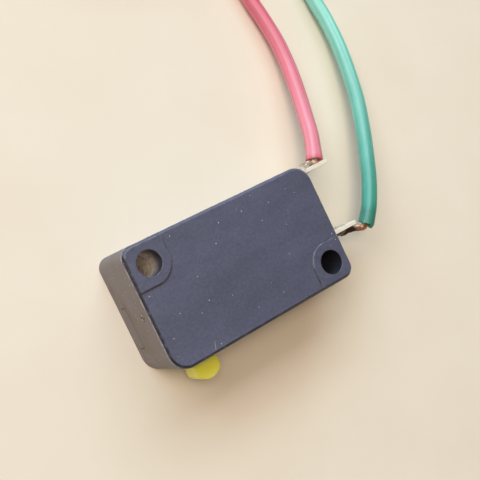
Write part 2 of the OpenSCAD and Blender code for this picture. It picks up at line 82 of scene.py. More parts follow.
# Routes of the leads from their tabs to their coils, in millimetres
RED_ROUTE = (
    (7.2, 12.8, 6), (7.8, 14.05, 5.9), (8.85, 16.2, 5.4), (9.75, 18.4, 4.7), (10.8, 21.3, 3.9),
    (11.7, 24.3, 3.2), (12.4, 27.4, 2.5), (12.7, 30.7, 2), (12.5, 34.2, 1.6), (12, 37.7, 1.4),
    (11.5, 43, 1.4), (11.3, 48.5, 1.4), (11.2, 54, 1.4), (11.2, 59.5, 1.4), (11.2, 64.5, 1.4),
)
GREEN_ROUTE = (
    (10.55, 1.75, 6), (11.7, 3, 6), (12.75, 4.35, 5.9), (14.45, 6.9, 5.6), (15.9, 9.5, 5.2),
    (17.4, 12.25, 4.7), (18.75, 15, 4.2), (20.05, 18.05, 3.7), (21, 21.1, 3.2), (21.8, 24.35, 2.7),
    (22.3, 27.5, 2.3), (22.5, 31, 1.9), (22.3, 34.4, 1.6), (22, 40, 1.4), (21.4, 46, 1.4),
    (20.3, 52, 1.4), (18.5, 58, 1.7), (15.6, 63.5, 2.7), (11.8, 68.8, 3.6), (7.3, 73.8, 3.6),
)
# Stripped conductors, from inside the insulation to the solder on the tab, in millimetres
RED_STRANDS = (
    (7.6, 13.3, 5.97), (7.2, 12.8, 6), (6.8, 12.68, 5.9), (6.1, 12.68, 5.6), (5.3, 12.68, 5.15),
)
GREEN_STRANDS = (
    (10.95, 2.15, 6), (10.55, 1.75, 6), (10.1, 1.5, 5.95), (9.5, 1.5, 5.85), (8.75, 1.8, 5.65),
    (7.8, 2, 5.4), (6.4, 2.02, 5.15),
)
# Tinned ends of the leads: where each starts and which way it points
RED_END = COIL_CENTRE + Vector((4.5, -8.3, 0)) * MM
RED_END_ANGLE = math.radians(51)
GREEN_END = COIL_CENTRE + Vector((-7.9, -3.9, 0)) * MM
GREEN_END_ANGLE = math.radians(-43)
BARE_END = 5.5 * MM

# The flux has crept along the green conductor up to here
FLUX_END = 8.7 * MM

# Degrees over which a coiled lead steps inwards from one turn to the next
STEP_IN = 60

# Where the moulding's gate was broken off the plain end, as Y and Z in millimetres
GATE_MARK = (4.9, 7.7)
# Radius of the case's corner between the plain end and the plunger side
PLAIN_CORNER = 2.4 * MM
# Height at which the bevel of the front face starts
BEVEL_FOOT = CASE_HIGH.z - 0.5 * MM
# Edges that bend by more than this count as sharp
SHARP = math.radians(32)
# A scratch on the front face: its middle, half its width and length, and how it is turned
SCRATCH = Vector((-19.3, -1.9, 10.1)) * MM
SCRATCH_SIZE = Vector((0.04, 0.65, 1)) * MM
SCRATCH_TURN = math.radians(-20)


def linear(code):
    """An sRGB hex colour as linear red, green, blue and alpha."""
    parts = [int(code[i:i + 2], 16) / 255 for i in (1, 3, 5)]
    return [c / 12.92 if c <= 0.04045 else ((c + 0.055) / 1.055) ** 2.4 for c in parts] + [1.0]


def per(millimetres):
    """Scale of a pattern whose features are this far apart."""
    return 1 / (millimetres * MM)


def metres(points):
    """Points in millimetres as vectors in metres."""
    return [Vector(p) * MM for p in points]


def colour_property(name, description, code):
    """A colour that a user may change."""
    return FloatVectorProperty(
        name=name, description=description, subtype="COLOR", size=4, min=0, max=1, default=linear(code)
    )


def length_property(name, description, value):
    """A length that a user may change."""
    return FloatProperty(
        name=name, description=description, default=value, min=0, precision=5,
        subtype="DISTANCE", unit="LENGTH"
    )


class CaseLook(bpy.types.PropertyGroup):
    """Looks of the case, the cover and the plunger."""

    rounding: length_property("Edge rounding", "Radius left on the moulded edges", 0.18 * MM)
    plastic: colour_property("Case colour", "Colour of the moulded case and cover", "#54576c")
    # Besides dust, this colour holds a painted reflection of the table top on the plain end
    dust: colour_property("Dust", "Colour of the dust film on the plain end", "#8f7a66")
    # Colour of the pale lining down the plain end's hole
    bore_lining: colour_property("Bore dust", "Colour of the dust down in the plain end's hole", "#fff7ee")
    plunger_rounding: length_property("Plunger rounding", "Radius left on the plunger's edges", 0.16 * MM)
    plunger: colour_property("Plunger colour", "Colour of the plunger", "#f8ff54")


class MetalLook(bpy.types.PropertyGroup):
    """Looks of the tabs, the conductors and the mechanism."""

    stamped_edge: length_property("Stamped edge", "Radius left on stamped edges", 0.05 * MM)
    tin: colour_property("Tin", "Colour of the tin plating", "#fff8ea")
    copper: colour_property("Copper", "Colour of the bare strands", "#f0c0a2")
    strands: IntProperty(
        name="Strands", description="Strands round the core of a conductor", default=12, min=3
    )
    strand_twist: FloatProperty(
        name="Twist", description="Turns of the strands over a conductor's length", default=1.2
    )
    conductor: length_property("Conductor", "Diameter of the twisted strands", 0.9 * MM)


class LeadLook(bpy.types.PropertyGroup):
    """Looks of the two leads."""

    length: length_property("Length", "Length of each lead", 191 * MM)
    diameter: length_property("Diameter", "Diameter over the insulation", WIRE_D)
    red: colour_property("Red", "Colour of the red insulation", "#e66d86")
    # The colours near the solder are painted light: a painted highlight on the red, painted shade on the
    # green
    red_heated: colour_property("Red, heated", "Colour of the red lead beside its solder", "#e68b9d")
    green: colour_property("Green", "Colour of the green insulation", "#92e2d3")
    green_heated: colour_property("Green, heated", "Colour of the green lead beside its solder", "#259484")
    # The red rim colour is painted shade in the mouth of the cut end
    red_rim: colour_property("Red rim", "Colour of the red insulation's cut end", "#c63a4e")
    green_rim: colour_property("Green rim", "Colour of the green insulation's cut end", "#2f8371")
    ragged: length_property("Ragged cut", "How uneven the stripped ends are", 0.22 * MM)


class StageLook(bpy.types.PropertyGroup):
    """Camera, floor and light."""

    camera_place: FloatVectorProperty(
        name="Camera place", description="Where the camera stands", size=3, subtype="TRANSLATION",
        unit="LENGTH", precision=5, default=(-0.05114, 0.01278, 0.09238)
    )
    camera_turn: FloatVectorProperty(
        name="Camera turn", description="How the camera is turned", size=3, subtype="EULER", unit="ROTATION",
        default=[math.radians(a) for a in (9.473, -24.884, -28.454)]
    )
    lens: FloatProperty(name="Lens", description="Focal length", default=56.47, subtype="DISTANCE_CAMERA")
    floor: colour_property("Floor", "Colour of the table top", "#efe6d5")
    window_power: FloatProperty(name="Window", description="Power of the window", default=4.2, unit="POWER")
    window_colour: colour_property("Window colour", "Colour of the window", "#f2fbff")
    sky_power: FloatProperty(name="Sky", description="Power of the low sky", default=4.6, unit="POWER")
    sky_colour: colour_property("Sky colour", "Colour of the low sky", "#b4e4ff")
    side_power: FloatProperty(name="Side", description="Power of the side window", default=1.5, unit="POWER")
    side_colour: colour_property("Side colour", "Colour of the side window", "#fff0f0")
    lamp_power: FloatProperty(name="Lamp", description="Power of the hanging lamp", default=3.4, unit="POWER")
    lamp_colour: colour_property("Lamp colour", "Colour of the hanging lamp", "#ffedd9")
    fill: FloatProperty(name="Fill", description="Strength of the light from all round", default=0.11)
    fill_colour: colour_property("Fill colour", "Colour of the light from all round", "#ffcf9c")


def add(tree, kind, inputs=None, **settings):
    """Adds a node with its settings, and links or fills its inputs by name or number."""
    made = tree.nodes.new(kind)
    for key, value in settings.items():
        setattr(made, key, value)
    for key, value in (inputs or {}).items():
        if isinstance(value, bpy.types.NodeSocket):
            tree.links.new(value, made.inputs[key])
        else:
            made.inputs[key].default_value = value
    return made


def worked(tree, operation, *numbers):
    """The result of an operation on two or three numbers."""
    return add(tree, "ShaderNodeMath", dict(enumerate(numbers)), operation=operation).outputs[0]


def vector(tree, operation, first, second=(0, 0, 0)):
    """The result of an operation on two vectors: a number where it measures them, and else a vector."""
    made = add(tree, "ShaderNodeVectorMath", {0: first, 1: second}, operation=operation)
    return made.outputs["Value" if operation in ("DISTANCE", "LENGTH", "DOT_PRODUCT") else "Vector"]


def scaled(tree, first, amount):
    """A vector or a colour times a number."""
    return add(tree, "ShaderNodeVectorMath", {0: first, "Scale": amount}, operation="SCALE").outputs[0]


def ranged(tree, value, low, high, start, end):
    """A number mapped from one range onto another and kept inside it."""
    return add(tree, "ShaderNodeMapRange", {0: value, 1: low, 2: high, 3: start, 4: end}).outputs[0]


def spread(tree, cloud, start, end):
    """Noise, nearly all of which lies from 0.3 to 0.7, mapped onto another range."""
    return ranged(tree, cloud, 0.3, 0.7, start, end)


def stretched(tree, place, scale):
    """Coordinates times a scale for each axis."""
    return add(tree, "ShaderNodeMapping", {"Vector": place, "Scale": scale}).outputs[0]


def noisy(tree, place, millimetres, detail):
    """Noise with features this far apart."""
    inputs = {"Vector": place, "Scale": per(millimetres), "Detail": detail}
    return add(tree, "ShaderNodeTexNoise", inputs).outputs[0]


def blended(tree, share, first, second):
    """A colour that passes from the first to the second."""
    return add(tree, "ShaderNodeMix", {0: share, 6: first, 7: second}, data_type="RGBA").outputs[2]


def openness(tree, reach):
    """How open a point is, from 0 in a crevice of this reach to 1."""
    made = add(tree, "ShaderNodeAmbientOcclusion", {"Distance": reach}, only_local=True, samples=8)
    return made.outputs["AO"]


def bumped(tree, height, strength, depth, **base):
    """The normal over a relief of this depth."""
    relief = {"Height": height, "Strength": strength, "Distance": depth, **base}
    return add(tree, "ShaderNodeBump", relief).outputs[0]


def blank(name, sockets):
    """A new material with these values on its shader: its tree, its coordinates, its shader and itself."""
    material = bpy.data.materials.new(name)
    material.use_nodes = True
    tree = material.node_tree
    shader = tree.nodes["Principled BSDF"]
    for socket, value in sockets.items():
        shader.inputs[socket].default_value = value
    return tree, add(tree, "ShaderNodeTexCoord").outputs, shader, material


def feed(shader, sockets):
    """Links these outputs to a shader."""
    for name, output in sockets.items():
        shader.id_data.links.new(output, shader.inputs[name])


def pbt_moulded(look):
    """PBT, injection moulded: a dark satin face with fine grain, faint flow marks, dust and a few rubs, and
    some painted shade, highlight and reflection.
    """
    tree, coordinates, shader, material = blank("PBT moulded", {"IOR": 1.55})
    place = coordinates["Object"]
    split = add(tree, "ShaderNodeSeparateXYZ", {0: place}).outputs
    # Flow marks run along the case, a few millimetres apart, and fine dust lies in the mould's grain
    flow = spread(tree, noisy(tree, stretched(tree, place, (0.35, 1, 1)), 4, 4), 0.86, 1.12)
    fine = spread(tree, noisy(tree, place, 0.35, 3), 0.88, 1.14)
    tone = scaled(tree, look.plastic[:3], worked(tree, "MULTIPLY", flow, fine))
    # A brown film on the plain end and round its corners, up to the bevel of the front face: partly dust,
    # partly a painted reflection of the table top
    patchy = noisy(tree, place, 2.3, 2)
    ended = ranged(tree, split["X"], CASE_LOW.x + 0.3 * MM, CASE_LOW.x + 1.3 * MM, 1, 0)
    below = worked(tree, "LESS_THAN", split["Z"], BEVEL_FOOT + 0.05 * MM)
    film = ranged(tree, patchy, 0.25, 0.75, 0.3, 0.5)
    dust_and_reflection_share = worked(tree, "MULTIPLY", worked(tree, "MULTIPLY", ended, below), film)
    dust_and_reflection_tone = blended(tree, dust_and_reflection_share, tone, list(look.dust))
    # Specks of dust a seventh of a millimetre across, more of them along the rubbed front edge of that end
    specks = add(tree, "ShaderNodeTexVoronoi", {"Vector": place, "Scale": per(0.5)}).outputs
    across = vector(tree, "MULTIPLY", place, (1, 0, 1))
    off = vector(tree, "DISTANCE", across, (CASE_LOW.x, 0, CASE_HIGH.z))
    beside = ranged(tree, off, 0.2 * MM, 1.5 * MM, 0.45, 0)
    chance = worked(tree, "ADD", ranged(tree, patchy, 0.45, 0.75, 0.035, 0.22), beside)
    roll = add(tree, "ShaderNodeSeparateColor", {0: specks["Color"]}).outputs[0]
    small = worked(tree, "LESS_THAN", specks["Distance"], 0.15)
    speck = worked(tree, "MULTIPLY", worked(tree, "LESS_THAN", roll, chance), small)
    # One pale scratch near the plunger
    turned = {"Vector": place, "Location": SCRATCH, "Rotation": (0, 0, SCRATCH_TURN), "Scale": SCRATCH_SIZE}
    dent = add(tree, "ShaderNodeMapping", turned, vector_type="TEXTURE").outputs[0]
    scratch = worked(tree, "LESS_THAN", vector(tree, "LENGTH", dent), 1)
    marked = worked(tree, "MAXIMUM", speck, worked(tree, "MULTIPLY", scratch, 0.5))
    dusted = blended(tree, worked(tree, "MULTIPLY", marked, 0.85), dust_and_reflection_tone, linear("#c9c5bf"))
    # Light runs round the edges as it does round the small radius that a mould leaves. Those of the front are
    # rubbed pale, the outer one of its bevel the most, as partly a painted highlight, and dirt lies in the
    # joints of the back half
    soft = add(tree, "ShaderNodeBevel", {"Radius": look.rounding}, samples=8).outputs[0]
    lean = vector(tree, "DOT_PRODUCT", soft, add(tree, "ShaderNodeNewGeometry").outputs["Normal"])
    rim = ranged(tree, lean, 0.8, 0.96, 1, 0)
    chips = noisy(tree, place, 0.9, 5)
    heavy = ranged(tree, off, 0.4 * MM, 0.6 * MM, 0.4, 0)
    amount = worked(tree, "ADD", ranged(tree, chips, 0.42, 0.6, 0.05, 0.6), heavy)
    front = worked(tree, "GREATER_THAN", split["Z"], CASE_HIGH.z / 2)
    rubbed = worked(tree, "MULTIPLY", rim, worked(tree, "MULTIPLY", front, amount))
    # The outer edge of the bevel gets a pale line: partly rubbed wear, partly a painted highlight
    outer = worked(tree, "COMPARE", split["Z"], BEVEL_FOOT, 0.12 * MM)
    rub_and_highlight_line = worked(tree, "MULTIPLY", outer, ranged(tree, lean, 0.975, 0.998, 1, 0))
    bright = worked(tree, "MULTIPLY", rub_and_highlight_line, ranged(tree, chips, 0.4, 0.55, 0.25, 1))
    edged = blended(tree, worked(tree, "MAXIMUM", rubbed, bright), dusted, linear("#c3c0c2"))
    joint = worked(tree, "MULTIPLY", rim, worked(tree, "SUBTRACT", 0.7, front))
    # A pale lining in the plain end's hole, patchy, from a millimetre below its mouth and full from 3.3 mm
    # down
    dusty, clean = MOUNTS["plain_end_hole"], MOUNTS["terminal_end_hole"]
    wall = dusty["dims"]["r_mm"] * MM
    on_wall, off_wall = wall * 1.01, wall * 1.05
    flat = vector(tree, "MULTIPLY", place, (1, 1, 0))
    inside = ranged(tree, vector(tree, "DISTANCE", flat, dusty["pos_m"]), on_wall, off_wall, 1, 0)
    lining_full, lining_start = CASE_HIGH.z - 3.3 * MM, CASE_HIGH.z - 1 * MM
    lined = worked(tree, "MULTIPLY", inside, ranged(tree, split["Z"], lining_full, lining_start, 1, 0))
    lining_patches = ranged(tree, noisy(tree, place, 0.5, 4), 0.36, 0.5, 0.55, 1)
    colour = blended(tree, worked(tree, "MULTIPLY", lined, lining_patches), edged, list(look.bore_lining))
    # Painted shade darkens the foot of the pads and the joints, the wall of the clean hole and the mouth of
    # the other
    crevice_shade = ranged(tree, openness(tree, 0.35 * MM), 0.45, 0.85, 0.75, 0)
    shaded = ranged(tree, vector(tree, "DISTANCE", flat, clean["pos_m"]), on_wall, off_wall, 0.8, 0)
    mouth = worked(tree, "MULTIPLY", worked(tree, "SUBTRACT", inside, lined), 0.5)
    # Painted shade darkens the front's bevel along the plain end and the plunger side
    turn = (CASE_LOW.x + PLAIN_CORNER, CASE_LOW.y + PLAIN_CORNER, 0)
    past = vector(tree, "LENGTH", vector(tree, "MAXIMUM", vector(tree, "SUBTRACT", turn, flat)))
    line = worked(tree, "COMPARE", past, PLAIN_CORNER - 0.25 * MM, 0.14 * MM)
    faced = worked(tree, "GREATER_THAN", split["Z"], BEVEL_FOOT + 0.08 * MM)
    painted_bevel_shade = ranged(tree, chips, 0.35, 0.5, 0.4, 0.85)
    darker = worked(tree, "MULTIPLY", worked(tree, "MULTIPLY", line, faced), painted_bevel_shade)
    # Dark joints and this painted shade all pass towards near-black together
    for other in (joint, crevice_shade, shaded, mouth):
        darker = worked(tree, "MAXIMUM", darker, other)
    feed(shader, {
        "Base Color": blended(tree, darker, colour, linear("#1b1a1e")),
        "Roughness": spread(tree, patchy, 0.4, 0.52),
        # The mould's eroded skin, about 0.15 mm from peak to peak
        "Normal": bumped(tree, noisy(tree, place, 0.15, 2), 0.25, 0.02 * MM, Normal=soft),
    })
    return material


def pbt_torn():
    """PBT where the gate tore off: a stress-whitened, crumbly break."""
    tree, coordinates, shader, material = blank("PBT torn", {"Roughness": 0.7, "IOR": 1.55})
    crumb = noisy(tree, coordinates["Object"], 0.3, 3)
    share = ranged(tree, crumb, 0.4, 0.6, 0, 1)
    feed(shader, {
        "Base Color": blended(tree, share, linear("#4a443f"), linear("#b3a698")),
        "Normal": bumped(tree, crumb, 0.6, 0.08 * MM),
    })
    return material


def acetal_moulded(look):
    """Acetal, injection moulded: a slippery yellow that lets a little light in, with paler rubbed patches."""
    tree, coordinates, shader, material = blank("Acetal moulded", {
        "IOR": 1.48,
        "Subsurface Weight": 0.8,
        "Subsurface Radius": (1, 0.9, 0.3),
        "Subsurface Scale": 1.2 * MM,
    })
    place = coordinates["Object"]
    cloud = noisy(tree, place, 1.2, 3)
    feed(shader, {
        "Base Color": blended(tree, spread(tree, cloud, 0, 1), list(look.plunger), linear("#fbff80")),
        "Roughness": spread(tree, cloud, 0.3, 0.46),
        "Normal": bumped(tree, noisy(tree, place, 0.2, 2), 0.15, 0.02 * MM),
    })
    return material


def brass_tinned(look):
    """Brass strip, rolled and tin plated: a pale, half-dull skin with rolling lines and darker spots."""
    tree, coordinates, shader, material = blank("Brass tinned", {"Metallic": 0.25})
    place = coordinates["Object"]
    lines = noisy(tree, stretched(tree, place, (0.08, 1, 1)), 0.12, 3)
    dust_and_reflection_tone = ranged(tree, noisy(tree, place, 1.4, 3), 0.52, 0.72, 0, 0.6)
    feed(shader, {
        "Base Color": blended(tree, dust_and_reflection_tone, list(look.tin), linear("#c4b498")),
        "Roughness": spread(tree, lines, 0.35, 0.55),
        "Normal": bumped(tree, lines, 0.2, 0.01 * MM),
    })
    return material


def strands_drawn(name, bright, dark, wick=None):
    """Drawn wire strands: bright where they rub, with painted shade in the gaps, and dark up to where the
    flux has crept.
    """
    tree, coordinates, shader, material = blank(name, {})
    place = coordinates["Object"]
    stain = noisy(tree, place, 0.7, 3)
    tone = blended(tree, ranged(tree, stain, 0.38, 0.66, 0, 1), bright, dark)
    # Painted shade darkens and dulls the gaps between the strands, a tenth of a millimetre deep
    gap_shade_and_flux = ranged(tree, openness(tree, 0.12 * MM), 0.3, 0.75, 1, 0)
    if wick:
        along = add(tree, "ShaderNodeSeparateXYZ", {0: place}).outputs["X"]
        crept = ranged(tree, along, wick - 0.3 * MM, wick + 0.3 * MM, 1, 0)
        gap_shade_and_flux = worked(tree, "MAXIMUM", gap_shade_and_flux, crept)
    feed(shader, {
        "Base Color": blended(tree, gap_shade_and_flux, tone, linear("#463828")),
        "Metallic": ranged(tree, gap_shade_and_flux, 0, 1, 0.8, 0.1),
        "Roughness": spread(tree, stain, 0.25, 0.55),
    })
    return material


def solder_fluxed():
    """Tin solder under rosin flux: a frozen, rippled metal, with dark glassy stains under the fixed tab."""
    coat = {"Coat Weight": 0.35, "Coat Roughness": 0.15}
    tree, coordinates, shader, material = blank("Solder fluxed", coat)
    place = coordinates["Object"]
    height = add(tree, "ShaderNodeSeparateXYZ", {0: place}).outputs["Y"]
    low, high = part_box("fixed_solder")
    under = (low.y + high.y) / 2
    reach = ranged(tree, height, under, under + 0.2 * MM, 0.45, 0)
    wet = worked(tree, "ADD", noisy(tree, place, 1.1, 4), reach)
    share = ranged(tree, wet, 0.5, 0.75, 0, 1)
    ripple = noisy(tree, place, 0.4, 2)
    feed(shader, {
        "Base Color": blended(tree, share, linear("#cfc8ba"), linear("#544431")),
        "Metallic": ranged(tree, share, 0, 1, 0.5, 0.2),
        "Roughness": spread(tree, ripple, 0.3, 0.5),
        "Normal": bumped(tree, ripple, 0.4, 0.05 * MM),
    })
    return material


def pvc_extruded(name, colour, near_solder, rim, rim_reach):
    """Soft PVC, extruded: an oily gloss over fine lines along the lead, with light and shade painted near its
    solder.
    """
    tree, coordinates, shader, material = blank(name, {
        "IOR": 1.53,
        "Subsurface Weight": 0.3,
        "Subsurface Radius": (1, 0.8, 0.7),
        "Subsurface Scale": 0.6 * MM,
        "Coat Weight": 0.6,
        "Coat Roughness": 0.42,
    })
    # The map runs along the lead in millimetres, and once round it
    mapped = coordinates["UV"]
    along = add(tree, "ShaderNodeSeparateXYZ", {0: mapped}).outputs["X"]
    cloud = noisy(tree, coordinates["Object"], 3, 3)
    # Painted light: towards the solder the tone passes to a paler red, a painted highlight, and a darker
    # green, painted shade
    near = worked(tree, "MULTIPLY_ADD", cloud, 0.3, ranged(tree, along, 1, 32, 1, 0))
    plain = blended(tree, ranged(tree, near, 0.15, 1.15, 0, 1), colour, near_solder)
    # The die left fine draw lines along it, and streaks half a millimetre wide
    lines = noisy(tree, stretched(tree, mapped, (0.05 * MM, 40 * MM, MM)), 1, 2)
    streaks = noisy(tree, stretched(tree, mapped, (0.03 * MM, 14 * MM, MM)), 1, 2)
    tone = scaled(tree, plain, spread(tree, streaks, 0.72, 1.22))
    # The last of it, beside the solder, takes the rim colour: painted shade at the red end's mouth, a darker
    # tone at the green end
    last = worked(tree, "MULTIPLY_ADD", cloud, -2.4, along)
    darkened = ranged(tree, last, rim_reach - 1.9, rim_reach - 0.9, 1, 0)
    feed(shader, {
        "Base Color": blended(tree, darkened, tone, rim),
        "Roughness": spread(tree, cloud, 0.42, 0.55),
        "Normal": bumped(tree, lines, 0.25, 0.03 * MM),
    })
    return material


def metal_strip(name, bright, dark, roughness):
    """Stamped or drawn metal inside the switch: even, with faint tarnish and fine drawing lines."""
    tree, coordinates, shader, material = blank(name, {"Metallic": 1.0})
    place = coordinates["Object"]
    lines = noisy(tree, stretched(tree, place, (0.1, 1, 1)), 0.15, 2)
    feed(shader, {
        "Base Color": blended(tree, noisy(tree, place, 1.5, 3), bright, dark),
        "Roughness": spread(tree, lines, roughness * 0.8, roughness * 1.2),
    })
    return material


def nylon_moulded():
    """Black nylon, moulded: a dull band with a fine woven-looking grain."""
    tree, coordinates, shader, material = blank("Nylon moulded", {"IOR": 1.53})
    grain = noisy(tree, coordinates["Object"], 0.3, 3)
    feed(shader, {
        "Base Color": blended(tree, grain, linear("#1d1e20"), linear("#2c2d30")),
        "Roughness": spread(tree, grain, 0.4, 0.6),
    })
    return material


def board_painted(colour):
    """Painted board: a pale matt table top with a soft mottle and fine tooth."""
    tree, coordinates, shader, material = blank("Board painted", {"IOR": 1.45, "Specular IOR Level": 0.3})
    place = coordinates["Object"]
    share = ranged(tree, noisy(tree, place, 14, 5), 0.35, 0.7, 0, 1)
    tooth = noisy(tree, place, 0.8, 3)
    feed(shader, {
        "Base Color": blended(tree, share, list(colour), linear("#ece2d0")),
        "Roughness": spread(tree, tooth, 0.55, 0.75),
        "Normal": bumped(tree, tooth, 0.12, 0.05 * MM),
    })
    return material


def placed(name, mesh, material=None):
    """A new object for a mesh, at the origin."""
    made = bpy.data.objects.new(name, mesh)
    bpy.context.scene.collection.objects.link(made)
    if material:
        mesh.materials.clear()
        mesh.materials.append(material)
    return made


def merged_copy(node):
    """A copy of a node's mesh with its loose triangles joined into faces."""
    mesh = NODES[node].data.copy()
    work = bmesh.new()
    work.from_mesh(mesh)
    bmesh.ops.remove_doubles(work, verts=work.verts, dist=0.001 * MM)
    bmesh.ops.dissolve_limit(work, angle_limit=math.radians(0.4), verts=work.verts, edges=work.edges)
    for face in work.faces:
        face.smooth = True
    work.to_mesh(mesh)
    work.free()
    return mesh


def depth_from(edge, face):
    """How far a face reaches from one of its edges."""
    start = edge.verts[0].co
    along = (edge.verts[1].co - start).normalized()
    return max((vertex.co - start - along * (vertex.co - start).dot(along)).length for vertex in face.verts)


def weigh_edges(mesh, rounding):
    """Marks each sharp edge with the share of the rounding that the faces beside it leave room for."""
    work = bmesh.new()
    work.from_mesh(mesh)
    weight = work.edges.layers.float.new("bevel_weight_edge")
    for edge in work.edges:
        if edge.is_convex and edge.calc_face_angle() > SHARP:
            room = min(depth_from(edge, face) for face in edge.link_faces)
            # A rounding takes up to a fifth of a face
            edge[weight] = min(1, 0.2 * room / rounding)
    work.to_mesh(mesh)
    work.free()


def dressed(node, name, body, material, rounding=0, segments=2):
    """A copy of a node, which stands for it, with smooth curves and, given a rounding, rounded edges."""
    piece = placed(name, merged_copy(node), material)
    if rounding:
        weigh_edges(piece.data, rounding)
        soften = piece.modifiers.new("Rounding", "BEVEL")
        soften.width = rounding
        soften.segments = segments
        soften.limit_method = "WEIGHT"
        soften.use_clamp_overlap = False
        soften.harden_normals = True
    piece.data.set_sharp_from_angle(angle=SHARP)
    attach(piece, body)
    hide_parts(node)
    return piece


def baked(piece):
    """Leaves a plain mesh in place of a piece's modifiers."""
    bpy.context.view_layer.update()
    ready = piece.evaluated_get(bpy.context.evaluated_depsgraph_get())
    mesh = bpy.data.meshes.new_from_object(ready)
    piece.modifiers.clear()
    piece.data = mesh
    return piece


def bridged(work, grid):
    """Smooth faces from ring to ring of points, each with the numbers of its ring and its column."""
    sides = len(grid[0])
    faces = []
    for a in range(len(grid) - 1):
        for k in range(sides):
            n = (k + 1) % sides
            face = work.faces.new((grid[a][k], grid[a][n], grid[a + 1][n], grid[a + 1][k]))
            face.smooth = True
            faces.append((face, a, k))
    return faces


def closed(name, work, grid):
    """Closes the first and the last ring, and turns the work into a mesh."""
    for ring in (grid[0], grid[-1]):
        work.faces.new(ring)
    bmesh.ops.recalc_face_normals(work, faces=work.faces)
    mesh = bpy.data.meshes.new(name)
    work.to_mesh(mesh)
    work.free()
    return mesh


def wavy(angle, waves, seed):
    """Noise round a circle, which meets itself."""
    return noise.noise(Vector((waves * math.cos(angle), waves * math.sin(angle), seed)))


def smooth_path(points, steps):
    """A curve through the points, with this many steps between each two."""
    out = []
    last = len(points) - 1
    for i in range(last):
        before, start = points[max(i - 1, 0)], points[i]
        end, after = points[i + 1], points[min(i + 2, last)]
        for k in range(steps):
            t = k / steps
            out.append(0.5 * (
                2 * start + (end - before) * t
                + (2 * before - 5 * start + 4 * end - after) * t ** 2
                + (3 * start - before - 3 * end + after) * t ** 3
            ))
    return out + [points[last]]


def path_frames(path):
    """At each point of a path, its direction and two directions across it, carried on without twist."""
    last = len(path) - 1
    headings = [(path[min(i + 1, last)] - path[max(i - 1, 0)]).normalized() for i in range(last + 1)]
    side = headings[0].orthogonal().normalized()
    out = []
    for heading in headings:
        side = (side - heading * side.dot(heading)).normalized()
        out.append((heading, side, heading.cross(side)))
    return out


def ease(value):
    """A smooth step from 0 to 1."""
    t = min(max(value, 0), 1)
    return t * t * (3 - 2 * t)


def coil_point(r, degrees, z):
    """A point on a turn of the coil."""
    turn = math.radians(degrees)
    return Vector((COIL_CENTRE.x + r * math.cos(turn), COIL_CENTRE.y + r * math.sin(turn), z))


def red_coil_points():
    """The red lead's turns: one outer and most of an inner one, ending inside the coil."""
    outer, inner = TURN_R, TURN_R - WIRE_D
    end = RED_END - COIL_CENTRE
    end_r = math.hypot(end.x, end.y)
    # Degrees at which it steps inwards, leaves the turns and ends
    step, leave, last = 300, 600, math.degrees(math.atan2(end.y, end.x)) + 720
    count = 44
    turns = []
    for i in range(1, count + 1):
        angle = last * i / count
        r = outer + (inner - outer) * ease((angle - step) / STEP_IN)
        r += (end_r - inner) * ease((angle - leave) / (last - leave))
        turns.append(coil_point(r, angle, RED_LAYER))
    return turns


def green_coil_points():
    """The green lead's turns, on top of the red ones, rolling off their inner side at the end."""
    outer, inner = TURN_R, TURN_R - WIRE_D
    # Degrees at which it starts, steps inwards, rolls off and ends
    first, step, roll, last = 45, 330, 470, 566.3
    count = 35
    turns = []
    for i in range(1, count + 1):
        angle = first + (last - first) * i / count
        drop = math.pi / 2 * ease((angle - roll) / (last - roll))
        r = outer + (inner - outer) * ease((angle - step) / STEP_IN) - WIRE_D * math.sin(drop)
        turns.append(coil_point(r, angle, RED_LAYER + (GREEN_LAYER - RED_LAYER) * math.cos(drop)))
    return turns


def lead_mesh(name, path, radius, bore, cut):
    """Insulation of a lead: a slightly uneven tube, with a lip and a bore at both cut ends."""
    sides = 36
    # The bore reaches in over this many points of the path
    depth = 3
    # The tube is uneven by this share over this length, and its stripped end flares over this one
    swell_share, swell_length, flare_length = 0.012, 4 * MM, 1.6 * MM
    # Waves round the cut, finer ones with their share, and the width of its tatter
    coarse, fine, fine_share, tatter_width = 2.3, 7, 0.6, 0.03
    last = len(path) - 1
    frames = path_frames(path)
    # Each ring: the path's point, the radius and how far its cut is uneven
    rings = [(depth, bore, 0), (0, bore * cut["mouth"], 0.7), (0, radius * 0.92, 1), (0, radius, 0.8)]
    rings += [(i, radius, 0) for i in range(1, last)]
    rings += [(last, radius, -0.5), (last, bore, -0.4), (last - depth, bore, 0)]
    travelled = [0.0]
    for i in range(1, last + 1):
        travelled.append(travelled[-1] + (path[i] - path[i - 1]).length)
    tatter = Vector(cut["tatter"]).normalized()
    slant = Vector(cut["slant"]) * MM
    work = bmesh.new()
    grid = []
    for point, r, share in rings:
        heading, side, up = frames[point]
        swell = 1 + swell_share * noise.noise(Vector((travelled[point] / swell_length, cut["seed"], 0)))
        swell += cut["flare"] * (1 - ease(travelled[point] / flare_length))
        ring = []
        for k in range(sides):
            angle = 2 * math.pi * k / sides
            out = math.cos(angle) * side + math.sin(angle) * up
            wave = wavy(angle, coarse, cut["seed"]) + fine_share * wavy(angle, fine, cut["seed"])
            uneven = share * cut["ragged"] * wave
            if share > 0:
                hang = cut["hang"] * math.exp((out.dot(tatter) - 1) / tatter_width)
                uneven += share * hang + out.dot(slant)
            ring.append(work.verts.new(path[point] + r * swell * out - uneven * heading))
        grid.append(ring)
    layer = work.loops.layers.uv.new("Along")
    for face, a, k in bridged(work, grid):
        corners = ((a, k), (a, k + 1), (a + 1, k + 1), (a + 1, k))
        for loop, (ring, column) in zip(face.loops, corners):
            loop[layer].uv = (travelled[rings[ring][0]] / MM, column / sides)
    mesh = closed(name, work, grid)
    mesh.set_sharp_from_angle(angle=math.radians(50))
    return mesh


